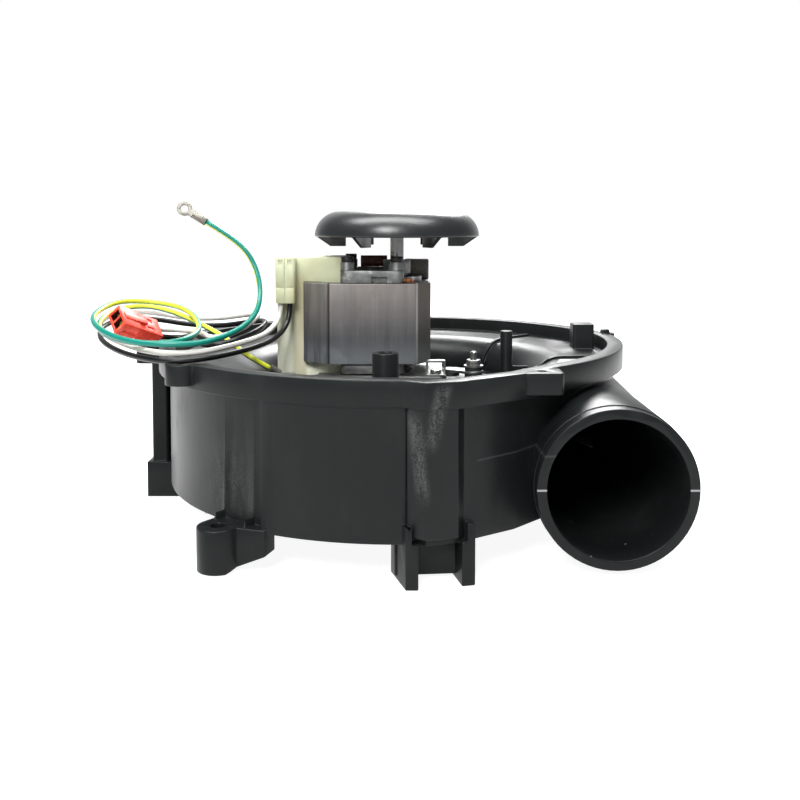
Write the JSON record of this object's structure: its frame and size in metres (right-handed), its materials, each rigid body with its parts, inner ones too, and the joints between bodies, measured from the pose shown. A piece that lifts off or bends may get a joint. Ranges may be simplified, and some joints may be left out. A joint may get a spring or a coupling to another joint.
{
  "type": "combustion fan",
  "caption": "Furnace combustion fan: round blower housing with a side outlet, a shaded-pole motor in its well and a domed cooling fan on top.",
  "frame": {"origin": "on the shaft axis, in the plane of the housing feet", "axes": "+Z along the shaft towards the cooling fan; the outlet is on the +X side and blows along -Y"},
  "size_m": [0.3107, 0.2795, 0.1762],
  "materials": {
    "black_plastic": "moulded, satin, scuffed",
    "zinc_screw": "zinc plated",
    "black_screw": "black oxide",
    "foam": "closed-cell foam",
    "seal_rubber": "moulded rubber",
    "zinc_sheet": "zinc-plated sheet",
    "lamination_steel": "stacked laminations",
    "natural_nylon": "natural nylon",
    "copper_wire": "enamelled copper",
    "brass": "stamped brass",
    "tinned": "tinned copper",
    "brown_sleeve": "varnished sleeve",
    "die_cast_zinc": "as cast",
    "bronze": "sintered",
    "ground_steel": "ground",
    "cast_aluminium": "cast",
    "white_insulation": "vinyl insulation",
    "black_insulation": "vinyl insulation",
    "green_insulation": "vinyl insulation with a yellow stripe",
    "red_plug": "moulded nylon"
  },
  "bodies": {
    "housing": {"black_lead": "black_insulation", "bracket_nuts": "zinc_screw", "bracket_screws": "black_screw", "clip_screw": "zinc_screw", "coil_bobbin": "natural_nylon", "coil_core": "lamination_steel", "coil_winding": "copper_wire", "coil_wrap": "natural_nylon", "cover_screws": "zinc_screw", "ground_eyelet": "tinned", "ground_screw": "zinc_screw", "ground_wire": "green_insulation", "inlet_gasket": "foam", "lower_bearing": "bronze", "lower_bearing_bracket": "die_cast_zinc", "lower_cover": "black_plastic", "motor_mount_plate": "zinc_sheet", "mount_clip": "zinc_sheet", "mount_grommets": "seal_rubber", "mount_nuts": "zinc_screw", "mount_studs": "zinc_screw", "mount_washers": "zinc_screw", "plug_contacts": "brass", "plug_housing": "red_plug", "protector_sleeve": "brown_sleeve", "retainer_screws": "zinc_screw", "ring_terminal": "tinned", "seal_retainer": "zinc_sheet", "shading_rings": "copper_wire", "shaft_seal": "seal_rubber", "stator_core": "lamination_steel", "terminal_block": "natural_nylon", "terminal_pins": "brass", "thermal_protector": "black_plastic", "upper_bearing": "bronze", "upper_bearing_bracket": "die_cast_zinc", "upper_housing": "black_plastic", "white_lead": "white_insulation"},
    "rotor": {"motor_shaft": "ground_steel", "rotor_core": "lamination_steel", "rotor_cage": "cast_aluminium", "thrust_washers": "ground_steel", "slinger": "cast_aluminium", "impeller": "black_plastic", "impeller_hub": "cast_aluminium", "impeller_set_screw": "black_screw", "cooling_fan": "black_plastic", "fan_clip": "zinc_sheet"}
  },
  "joints": [
    {"name": "rotor_spin", "type": "hinge", "parent": "housing", "child": "rotor", "pos_m": [0, 0, 0.08], "axis": [0, 0, 1], "continuous": true}
  ]
}
